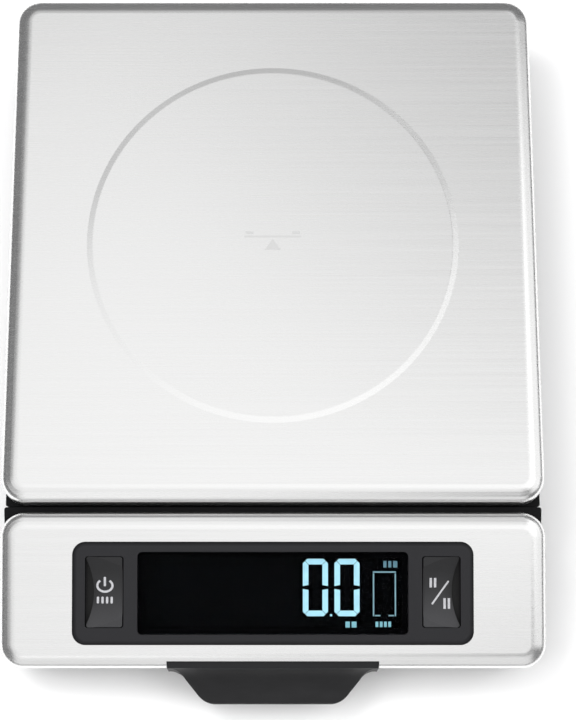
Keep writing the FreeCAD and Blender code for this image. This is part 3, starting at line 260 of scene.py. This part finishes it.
def soft_touch(name, colour):
    """Soft-touch coating: matte, with a faint velvet lift and small rub marks."""
    s = Shader(name, Sheen_Weight=0.05, Sheen_Roughness=0.5, Specular_IOR_Level=0.3)
    sand = s.noise(s.place(), 4200.0, 2.0)
    rub = s.noise(s.place((60, 190, 60)), 1.0, 4.0, 0.62)
    s.set("Base Color", s.ramp(rub, (0.35, shade(colour, 0.92)), (0.75, shade(colour, 1.15))))
    s.set("Roughness", s.spread(rub, 0.58, 0.46, 0.35, 0.75))
    s.bump(sand, 0.008 * MM, 0.6)
    return s.material


def rubber(name, colour, rough=0.7):
    """Rubber, silicone or soft vinyl: matte and grainy, with a little dust."""
    s = Shader(name)
    sand = s.noise(s.place(), 1800.0, 4.0, 0.7)
    dust = s.noise(s.place(), 130.0, 3.0)
    s.set("Base Color", s.ramp(dust, (0.35, colour), (0.8, shade(colour, 1.5))))
    s.set("Roughness", s.spread(sand, rough - 0.08, rough + 0.08))
    s.bump(sand, 0.02 * MM, 0.5)
    return s.material


def plated(name, colour, rough):
    """Zinc or nickel plate: small spangles and fine handling marks."""
    s = Shader(name, Metallic=1.0)
    spangle = s.node("ShaderNodeTexVoronoi")
    spangle.inputs["Scale"].default_value = 900.0
    s.link(s.place(), spangle.inputs["Vector"])
    marks = s.noise(s.place((300, 1500, 700)), 1.0, 3.0)
    grains = spangle.outputs["Distance"]
    s.set("Base Color", s.ramp(grains, (0.0, shade(colour, 0.92)), (1.0, shade(colour, 1.05))))
    s.set("Roughness", s.spread(marks, rough - 0.06, rough + 0.1, 0.3, 0.7))
    s.bump(marks, 0.004 * MM, 0.5)
    return s.material


def milled_aluminium(name):
    """Fine even cutter marks across the bar."""
    s = Shader(name, Metallic=1.0)
    cutter = s.node("ShaderNodeTexWave", wave_type="BANDS", bands_direction="Y")
    cutter.inputs["Scale"].default_value = 420.0
    cutter.inputs["Distortion"].default_value = 0.6
    s.link(s.place(), cutter.inputs["Vector"])
    s.set("Base Color", s.ramp(cutter.outputs["Fac"], (0.0, (0.74, 0.75, 0.76)), (1.0, (0.84, 0.85, 0.86))))
    s.set("Roughness", s.spread(cutter.outputs["Fac"], 0.28, 0.42))
    s.bump(cutter.outputs["Fac"], 0.006 * MM, 0.5)
    return s.material


def circuit_board(name):
    """Solder mask over copper: faint raised tracks in two directions."""
    s = Shader(name, Coat_Weight=0.3)
    tracks = []
    for direction in ("X", "Y"):
        wave = s.node("ShaderNodeTexWave", wave_type="BANDS", bands_direction=direction)
        wave.inputs["Scale"].default_value = 160.0
        wave.inputs["Distortion"].default_value = 3.5
        wave.inputs["Detail"].default_value = 0.0
        wave.inputs["Detail Scale"].default_value = 0.3
        s.link(s.place(), wave.inputs["Vector"])
        tracks.append(wave.outputs["Fac"])
    copper = s.math("GREATER_THAN", s.math("MAXIMUM", *tracks), 0.93)
    s.set("Base Color", s.ramp(copper, (0.0, (0.012, 0.085, 0.045)), (1.0, (0.03, 0.17, 0.085))))
    s.set("Roughness", s.spread(s.noise(s.place(), 600.0), 0.3, 0.42))
    s.bump(copper, 0.03 * MM, 0.6)
    return s.material


def battery_sleeve(name):
    """Plain two-colour sleeve. The light end is the end with the nub, which alternates from cell to cell."""
    s = Shader(name, Metallic=0.6)
    across = s.noise(s.place((1200, 40, 1200)), 1.0)
    x, y, _ = s.axes(s.place())
    along = s.spread(y, 0.0, 1.0, CELLS_Y[0] * MM, CELLS_Y[1] * MM)
    cell = s.math("FLOOR", s.spread(x, 0.0, CELLS, CELLS_X[0] * MM, CELLS_X[1] * MM), 0.0)
    turned = s.math("SUBTRACT", 1.0, s.math("MODULO", cell, 2.0))
    from_nub = s.math("ABSOLUTE", s.math("SUBTRACT", along, turned), 0.0)
    light, dark = (0.50, 0.36, 0.16), (0.03, 0.035, 0.045)
    s.set("Base Color", s.ramp(from_nub, (0.0, light), (0.30, light), (0.31, dark), (1.0, dark)))
    s.set("Roughness", s.spread(across, 0.22, 0.34))
    s.bump(across, 0.004 * MM, 0.5)
    return s.material


def clear_lens(name):
    """Thin acrylic window with an anti-glare coat, so that it mirrors very little."""
    s = Shader(name, Transmission_Weight=1.0, IOR=1.06)
    s.main.inputs["Base Color"].default_value = (0.80, 0.82, 0.85, 1.0)
    haze = s.noise(s.place(), 240.0, 2.0)
    s.set("Roughness", s.spread(haze, 0.02, 0.06))
    return s.material


def display_glass(name):
    """Negative display: near black, behind a film that hardly mirrors."""
    s = Shader(name, Specular_IOR_Level=0.0)
    speck = s.noise(s.place(), 1500.0, 2.0)
    s.set("Base Color", s.ramp(speck, (0.3, (0.0012, 0.0014, 0.0018)), (0.8, (0.0022, 0.0025, 0.0032))))
    s.set("Roughness", s.spread(speck, 0.35, 0.45))
    return s.material


def lit(name, colour, edge=None):
    """Lit display marks, a little uneven like their backlight. Beyond x = edge they are half as bright."""
    s = Shader(name, Emission_Strength=1.0)
    level = s.spread(s.noise(s.place(), 300.0, 1.0), 0.84, 0.93, 0.3, 0.7)
    if edge:
        level = s.math("MULTIPLY", level, s.spread(s.face_place()[0], 1.0, 0.5, edge, edge + 0.5 * MM))
    s.set("Emission Color", s.ramp(level, (0.0, (0.0, 0.0, 0.0)), (1.0, shade(colour, 1.11))))
    s.set("Base Color", s.ramp(level, (0.0, (0.0, 0.0, 0.0)), (1.0, shade(colour, 0.35))))
    return s.material


def printed(name, colour, mirror=0.5):
    """Pad-printed ink, slightly worn."""
    s = Shader(name, Specular_IOR_Level=mirror)
    wear = s.noise(s.place(), 2200.0, 3.0, 0.6)
    s.set("Base Color", s.ramp(wear, (0.25, shade(colour, 0.75)), (0.6, colour)))
    s.set("Roughness", s.spread(wear, 0.45, 0.6))
    return s.material


STEEL = (0.84, 0.84, 0.835)
MATERIALS = {
    "steel_brushed": brushed_steel("steel_brushed", STEEL, 0.27),
    "housing_black": moulded("housing_black", (0.005, 0.005, 0.0055), 0.56, mirror=0.12),
    # The bezel's last colour is the painted shade down its sloping rim
    "bezel_charcoal": bezel_plastic("bezel_charcoal", (0.014, 0.014, 0.0158), (0.005, 0.005, 0.0058)),
    "key_charcoal": key_plastic("key_charcoal", (0.021, 0.021, 0.0225)),
    "tab_black": soft_touch("tab_black", (0.008, 0.008, 0.0088)),
    "tongue_black": moulded("tongue_black", (0.020, 0.020, 0.022), 0.38, 1500.0, 0.006),
    "tray_grey": moulded("tray_grey", (0.10, 0.10, 0.105), 0.5),
    "liner_grey": moulded("liner_grey", (0.09, 0.09, 0.095), 0.5),
    "rail_acetal": moulded("rail_acetal", (0.66, 0.66, 0.62), 0.38, 1200.0, 0.005),
    "foot_rubber": rubber("foot_rubber", (0.022, 0.022, 0.022)),
    "pad_silicone": rubber("pad_silicone", (0.09, 0.09, 0.10), 0.55),
    "gauge_silicone": rubber("gauge_silicone", (0.70, 0.70, 0.66), 0.45),
    "cell_aluminium": milled_aluminium("cell_aluminium"),
    "screw_zinc": plated("screw_zinc", (0.62, 0.62, 0.60), 0.3),
    "spring_steel": plated("spring_steel", (0.56, 0.56, 0.55), 0.22),
    "contact_nickel": plated("contact_nickel", (0.70, 0.68, 0.64), 0.2),
    "battery_label": battery_sleeve("battery_label"),
    "board_green": circuit_board("board_green"),
    "chip_black": moulded("chip_black", (0.03, 0.03, 0.032), 0.5),
    "switch_black": moulded("switch_black", (0.05, 0.05, 0.05), 0.45),
    "plunger_white": moulded("plunger_white", (0.70, 0.70, 0.68), 0.4),
    "cable_jacket": rubber("cable_jacket", (0.30, 0.30, 0.31), 0.5),
    "lead_red": rubber("lead_red", (0.40, 0.025, 0.025), 0.45),
    "ribbon_white": moulded("ribbon_white", (0.74, 0.74, 0.72), 0.35, 900.0, 0.004),
    "lens_clear": clear_lens("lens_clear"),
    "lcd_dark": display_glass("lcd_dark"),
    "lcd_lit": lit("lcd_lit", (0.42, 0.77, 0.88), SYMBOLS_X * MM),
    "light_white": moulded("light_white", (0.80, 0.82, 0.82), 0.35),
    "holder_white": moulded("holder_white", (0.74, 0.74, 0.72), 0.45),
    "zebra_pink": rubber("zebra_pink", (0.50, 0.32, 0.33), 0.55),
}
INK = printed("ink_grey", (0.46, 0.46, 0.48))
BLACK = printed("ink_black", (0.0015, 0.0015, 0.0018), 0.0)
LABEL = lit("lcd_label", (0.22, 0.50, 0.56))
DIM = lit("lcd_dim", (0.10, 0.22, 0.27))
ETCHED = etched_steel("steel_etched", (0.81, 0.81, 0.805))

slots = {part["node"]: part["material_slot"] for part in frame["record"]["subparts"]}
for name, piece in nodes.items():
    piece.data.materials.clear()
    piece.data.materials.append(MATERIALS[slots[name]])


# ---- New pieces ---------------------------------------------------------------------------------------
def add_piece(name, mesh, material, place=None):
    """Turns a bmesh into a piece with one material, moved and scaled by place."""
    data = bpy.data.meshes.new(name)
    mesh.to_mesh(data)
    mesh.free()
    if place:
        data.transform(place)
    data.materials.append(material)
    piece = bpy.data.objects.new(name, data)
    scene.collection.objects.link(piece)
    return piece


# ---- Flat marks: icons, display labels, the etched mark ---------------------------------------------
def bar(x0, x1, y0, y1):
    return [(x0, y0), (x1, y0), (x1, y1), (x0, y1)]


def stroke(a, b, width):
    """Straight bar between two points with clipped ends."""
    a, b = Vector(a), Vector(b)
    along = (b - a).normalized()
    across = Vector((-along.y, along.x)) * width / 2
    nib = along * width / 4
    return [a - across + nib, a - across / 2, a + across / 2, a + across + nib,
            b + across - nib, b + across / 2, b - across / 2, b - across - nib]


def ring(x, y, rx, ry, width, start, end, steps=28):
    """Oval ring band from start to end degrees, as short quads."""
    quads = []
    angles = [math.radians(start + (end - start) * i / steps) for i in range(steps + 1)]
    for a, b in zip(angles, angles[1:]):
        outer = [(x + rx * math.cos(t), y + ry * math.sin(t)) for t in (a, b)]
        inner = [(x + (rx - width) * math.cos(t), y + (ry - width) * math.sin(t)) for t in (b, a)]
        quads.append(outer + inner)
    return quads


def border(x0, x1, y0, y1, width):
    """Four bars round the inside of a rectangle."""
    return [bar(x0, x1, y1 - width, y1), bar(x0, x1, y0, y0 + width),
            bar(x0, x0 + width, y0 + width, y1 - width), bar(x1 - width, x1, y0 + width, y1 - width)]


def refine(mesh, pitch):
    """Splits edges until they are about as short as pitch, so that the mesh can follow a curved surface."""
    bmesh.ops.triangulate(mesh, faces=mesh.faces[:])
    for _ in range(6):
        long = [edge for edge in mesh.edges if edge.calc_length() > pitch]
        if not long:
            break
        bmesh.ops.subdivide_edges(mesh, edges=long, cuts=1)
        bmesh.ops.triangulate(mesh, faces=[face for face in mesh.faces if len(face.verts) > 3])


def drape(mesh, place, under, name):
    """Drops each point square to the face onto the object under it."""
    start = 5.0  # above the face, clear of every surface
    to_object = under.matrix_world.inverted()
    down = (to_object.to_3x3() @ (place.to_3x3() @ Vector((0, 0, -1)))).normalized()
    for vert in mesh.verts:
        top = to_object @ (place @ Vector((vert.co.x * MM, vert.co.y * MM, start * MM)))
        hit, spot, _, _ = under.ray_cast(top, down)
        if not hit:
            raise RuntimeError(f"{name} has a point beside {under.name}")
        vert.co.z = (place.inverted() @ (under.matrix_world @ spot)).z / MM


def marks(name, outlines, thick, place, material, body, pitch=None, under=None):
    """Thin raised marks from flat outlines in millimetres. With under, they follow that object's surface."""
    mesh = bmesh.new()
    for outline in outlines:
        mesh.faces.new([mesh.verts.new((x, y, 0.0)) for x, y in outline])
    bmesh.ops.remove_doubles(mesh, verts=mesh.verts, dist=0.001)
    if pitch:
        refine(mesh, pitch)
    bmesh.ops.recalc_face_normals(mesh, faces=mesh.faces)
    for face in mesh.faces:
        if face.normal.z < 0:
            face.normal_flip()
    if under:
        drape(mesh, place, under, name)
    flat = mesh.faces[:]
    raised = bmesh.ops.extrude_face_region(mesh, geom=flat)
    for vert in [item for item in raised["geom"] if isinstance(item, bmesh.types.BMVert)]:
        vert.co.z += thick
    if under:
        # The underside is sunk into the surface, once for each face round a point, so that no slit shows
        for face in flat:
            for vert in face.verts:
                vert.co.z -= thick
    bmesh.ops.recalc_face_normals(mesh, faces=mesh.faces)
    piece = add_piece(name, mesh, material, place @ Matrix.Scale(MM, 4))
    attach(piece, body)


INK_THICK = 0.03
KEY_PITCH = 1.0  # short enough to follow the scoop of a key

# Power key: a ring open at the top with a stroke in it, and four short strokes below
POWER_X, POWER_Y = -65.3, -28.2
POWER_LINE = 0.9
STROKES_X = (-2.7, -0.9, 0.9, 2.7)
STROKES_TOP, STROKES_FOOT = -32.5, -35.1
power_icon = ring(POWER_X, POWER_Y, 3.4, 2.8, 0.85, 128.0, 412.0)
power_icon.append(stroke((POWER_X, POWER_Y + 3.4), (POWER_X, POWER_Y - 0.3), POWER_LINE))
for x in STROKES_X:
    power_icon.append(stroke((POWER_X + x, STROKES_TOP), (POWER_X + x, STROKES_FOOT), POWER_LINE))
marks("power_icon", power_icon, INK_THICK, FACE, INK, "power_button", KEY_PITCH, nodes["power_key"])

# Unit key: two bars, a slanting stroke and two bars
UNIT_BAR = 0.95
unit_icon = [bar(x, x + UNIT_BAR, -28.9, -25.2) for x in (60.9, 62.6)]
unit_icon += [bar(x, x + UNIT_BAR, -37.2, -33.1) for x in (66.3, 68.0)]
unit_icon.append(stroke((68.4, -26.4), (61.8, -35.4), 0.7))
marks("unit_icon", unit_icon, INK_THICK, FACE, INK, "unit_button", KEY_PITCH, nodes["unit_key"])

# Plain bars in place of the display's small words, each row with its lower and upper edge
LABEL_THICK = 0.1
LOW_PITCH = 1.65
low_spans = [(40.0 + LOW_PITCH * i, 41.1 + LOW_PITCH * i) for i in range(4)]
LABELS = (
    ("label_unit", LABEL, -44.6, -42.3, ((28.3, 30.0), (30.7, 32.6))),
    ("label_top", DIM, -21.3, -18.8, ((43.1, 44.3), (45.0, 46.2), (46.9, 48.5))),
    ("label_low", LABEL, -44.4, -42.3, low_spans),
)
GLASS = FACE @ Matrix.Translation((0, 0, GLASS_TOP * MM))
for name, material, y0, y1, spans in LABELS:
    marks(name, [bar(x0, x1, y0, y1) for x0, x1 in spans], LABEL_THICK, GLASS, material, "display_head")

# Black border printed on the lens's underside, over the ledge that carries the lens
UNDER_LENS = FACE @ Matrix.Translation((0, 0, LENS_UNDERSIDE * MM))
lens_border = border(-52.3, 52.3, -46.8, -15.3, 2.2)
marks("lens_mask", lens_border, INK_THICK, UNDER_LENS, BLACK, "display_head")

# A small balance etched in the middle of the disc: its beam, its foot and a weight at each end
ETCH_THICK, ETCH_SUNK = 0.02, 0.01
WEIGHTS_X = (-9.4, 9.4)
DISC_MIDDLE = Matrix.Translation((0, plate_middle.y, plate_high.z - ETCH_SUNK * MM))
balance = [bar(-11.5, 11.5, 1.5, 2.3), [(-3.4, -3.8), (3.4, -3.8), (0.0, 0.9)]]
balance += [bar(x - 1.6, x + 1.6, 2.9, 4.1) for x in WEIGHTS_X]
marks("etched_mark", balance, ETCH_THICK, DISC_MIDDLE, ETCHED, "platform")


# ---- Flat cable: the CAD loop, split where it starts to follow the head ------------------------------
RIBBON_X, RIBBON_HALF, RIBBON_THICK, RIBBON_EDGE = 37.0, 6.9, 0.26, 0.15
RIBBON_TOP, RIBBON_LOW = 16.0, 6.8
RIBBON_START_Y, RIBBON_LOOP_Y, RIBBON_RISE_Y = -21.3, 40.0, -84.0
RISE_R, RISE_END_Z = 5.0, 16.8
RUN_STEPS = 31  # short lengths of the straight run
ARC_STEP = 9  # degrees


def arc(y, z, radius, start, end):
    """Points of a turn round (y, z), with 0 degrees at its top and 180 at its foot."""
    angles = [math.radians(angle) for angle in range(start, end + 1, ARC_STEP)]
    return [(y + radius * math.sin(angle), z + radius * math.cos(angle)) for angle in angles]


def cable(name, path, body=None):
    """Flat cable swept along a path of (y, z) points, with thin edges."""
    half, thick = RIBBON_HALF, RIBBON_THICK / 2
    flat = half - RIBBON_EDGE
    section = [(-half, 0), (-flat, thick), (flat, thick), (half, 0), (flat, -thick), (-flat, -thick)]
    mesh = bmesh.new()
    loops = []
    for i, (y, z) in enumerate(path):
        before, after = path[max(i - 1, 0)], path[min(i + 1, len(path) - 1)]
        along = Vector((after[0] - before[0], after[1] - before[1])).normalized()
        up = Vector((-along.y, along.x))
        loops.append([mesh.verts.new((RIBBON_X + x, y + up.x * h, z + up.y * h)) for x, h in section])
    for a, b in zip(loops, loops[1:]):
        for i in range(len(section)):
            j = (i + 1) % len(section)
            mesh.faces.new((a[i], a[j], b[j], b[i]))
    mesh.faces.new(loops[0])
    mesh.faces.new(loops[-1][::-1])
    bmesh.ops.recalc_face_normals(mesh, faces=mesh.faces)
    piece = add_piece(name, mesh, MATERIALS["ribbon_white"], Matrix.Scale(MM, 4))
    if body:
        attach(piece, body)
    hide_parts("ribbon_cable")
    return piece


loop_r = (RIBBON_TOP - RIBBON_LOW) / 2
loop = arc(RIBBON_LOOP_Y, RIBBON_LOW + loop_r, loop_r, 0, 180)
cable("ribbon_loop", [(RIBBON_START_Y, RIBBON_TOP), (0, RIBBON_TOP)] + loop, "base")

run_step = (RIBBON_LOOP_Y - RIBBON_RISE_Y) / RUN_STEPS
lower = cable("ribbon_run", [(RIBBON_LOOP_Y - i * run_step, RIBBON_LOW) for i in range(RUN_STEPS + 1)])
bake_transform(lower)

rise = arc(RIBBON_RISE_Y, RIBBON_LOW + RISE_R, RISE_R, 180, 270)
cable("ribbon_rise", rise + [(RIBBON_RISE_Y - RISE_R, RISE_END_Z)], "display_head")

# ---- Load cell and gauge covers cut across into short lengths; on the scale the beam's rear end is held by the base and its front end sinks with the tray ---
BEND = 15.0 * MM  # half of the length that bends
BEND_CUTS = 4  # on each side of the middle
SHARP = math.radians(30)


def bending(name, node):
    """The CAD node's own shape, cut across into short lengths."""
    mesh = bmesh.new()
    mesh.from_mesh(nodes[node].data)
    for step in range(-BEND_CUTS, BEND_CUTS + 1):
        everything = mesh.verts[:] + mesh.edges[:] + mesh.faces[:]
        at = cell_middle + Vector((0, step * BEND / BEND_CUTS, 0))
        bmesh.ops.bisect_plane(mesh, geom=everything, plane_co=at, plane_no=(0, 1, 0))
    piece = add_piece(name, mesh, nodes[node].data.materials[0])
    piece.data.shade_smooth()
    piece.data.set_sharp_from_angle(angle=SHARP)
    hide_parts(node)
    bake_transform(piece)


bending("load_cell_beam", "load_cell")
bending("gauge_cover_pads", "gauge_covers")

# ---- Room: floor, lights, camera ------------------------------------------------------------------
scene.view_settings.view_transform = "Standard"


def pale_floor():
    """The light surface that the scale stands on."""
    s = Shader("floor_pale", Roughness=0.9)
    cloud = s.noise(s.place(), 6.0)
    s.set("Base Color", s.ramp(cloud, (0.0, (0.89, 0.89, 0.89)), (1.0, (0.91, 0.91, 0.91))))
    mesh = bpy.data.meshes.new("floor")
    half = 3.0  # metres
    corners = [(-half, -half, 0), (half, -half, 0), (half, half, 0), (-half, half, 0)]
    mesh.from_pydata(corners, [], [(0, 1, 2, 3)])
    mesh.materials.append(s.material)
    floor = bpy.data.objects.new("floor", mesh)
    scene.collection.objects.link(floor)


def panel(name, place, size, radiance, aim=plate_middle, in_gloss=True, spin=0.0):
    """Soft rectangular light with the given radiance that faces aim. Spin turns it in its own plane."""
    light = bpy.data.lights.new(name, "AREA")
    light.shape = "RECTANGLE"
    light.size, light.size_y = size
    light.energy = radiance * math.pi * size[0] * size[1]
    lamp = bpy.data.objects.new(name, light)
    lamp.location = place
    facing = (aim - Vector(place)).to_track_quat("-Z", "Y").to_matrix() @ Matrix.Rotation(spin, 3, "Z")
    lamp.rotation_euler = facing.to_euler()
    lamp.visible_glossy = in_gloss
    scene.collection.objects.link(lamp)


def overhead_panel(name, x, y, height, size, radiance, spin=0.0):
    """A panel that faces straight down, placed from the middle of the platform."""
    at = Vector((x, plate_middle.y + y))
    panel(name, (*at, height), size, radiance, Vector((*at, 0.0)), spin=spin)


pale_floor()
world = bpy.data.worlds.new("studio")
world.use_nodes = True
world.node_tree.nodes["Background"].inputs["Color"].default_value = (0.20, 0.20, 0.203, 1.0)
scene.world = world

# Overhead: layers whose far edges step back slantwise over the platform's right rear corner.
# Each has its far edge, its depth from there, its middle and width along that edge, and its radiance.
OVERHEAD_HEIGHT, LAYER_GAP = 1.04, 0.002
SLANT = math.radians(-45.0)
far = Vector((-math.sin(SLANT), math.cos(SLANT)))
side = Vector((math.cos(SLANT), math.sin(SLANT)))
LAYERS = (
    (0.25, 0.45, 0.00, 1.28, 0.08),
    (0.25, 1.50, 0.00, 1.28, 0.13),
    (0.42, 1.50, 0.00, 1.28, 0.23),
    (0.58, 1.50, 0.00, 1.28, 0.28),
    (0.76, 1.50, 0.00, 1.28, 0.18),
    (0.40, 1.00, -0.77, 0.26, 0.30),
)
for i, (edge, depth, along, width, radiance) in enumerate(LAYERS):
    x, y = far * (edge - depth / 2) + side * along
    overhead_panel(f"overhead_{i}", x, y, OVERHEAD_HEIGHT + LAYER_GAP * i, (width, depth), radiance, SLANT)

# Panels round the overhead that the disc's rim mirrors but the flat steel hardly does
RIM_HEIGHT = 1.03
RIM_LIGHTS = (
    ("rim_right", 0.65, 0.13, (0.44, 1.08), 0.46),
    ("rim_front", 0.10, -0.13, (0.90, 0.28), 0.14),
    ("rim_back", -0.15, 0.86, (0.85, 0.40), 0.30),
    ("rim_corner", 0.44, 0.82, (0.28, 0.28), 1.05),
)
for name, x, y, size, radiance in RIM_LIGHTS:
    overhead_panel(name, x, y, RIM_HEIGHT, size, radiance)

# Cards show in the steel. The key light and the fills don't.
CARDS = (
    ("front_card", (0.0, -1.5, 0.95), (2.0, 1.3), 0.70),
    ("right_card", (1.05, 0.05, 0.95), (1.3, 1.0), 0.92),
)
FILLS = (
    ("key", (-0.8, 0.6, 1.5), (0.7, 0.7), 6.0),
    ("left_fill", (-1.3, 0.0, 0.8), (1.5, 1.5), 2.3),
    ("back_fill", (0.0, 1.5, 0.9), (2.0, 1.2), 1.1),
    ("right_fill", (1.4, 0.0, 0.9), (1.4, 1.2), 2.1),
    ("front_fill", (0.2, -1.6, 1.0), (2.0, 1.2), 0.4),
)
for name, place, size, radiance in CARDS:
    panel(name, place, size, radiance)
for name, place, size, radiance in FILLS:
    panel(name, place, size, radiance, in_gloss=False)

# The camera looks down from nearly above, from the user's side
DISC_RISE = 0.33 * MM
CAMERA_HEIGHT = 0.7302  # above the platform's flat part
CAMERA_FRONT = 0.2360  # in front of the platform's middle
CAMERA_PITCH = 75.66  # degrees below the horizon
camera_data = bpy.data.cameras.new("camera")
camera_data.lens = 95.18
camera_data.sensor_width = 36.0
camera_data.shift_x = 0.0211
camera_data.clip_end = 20.0
camera = bpy.data.objects.new("camera", camera_data)
camera.location = (0.0, plate_middle.y - CAMERA_FRONT, plate_high.z - DISC_RISE + CAMERA_HEIGHT)
camera.rotation_euler = (math.radians(90.0 - CAMERA_PITCH), 0.0, 0.0)
scene.collection.objects.link(camera)
scene.camera = camera

# ---- Last update of the view layer ------------------------------------------------------------------
bpy.context.view_layer.update()
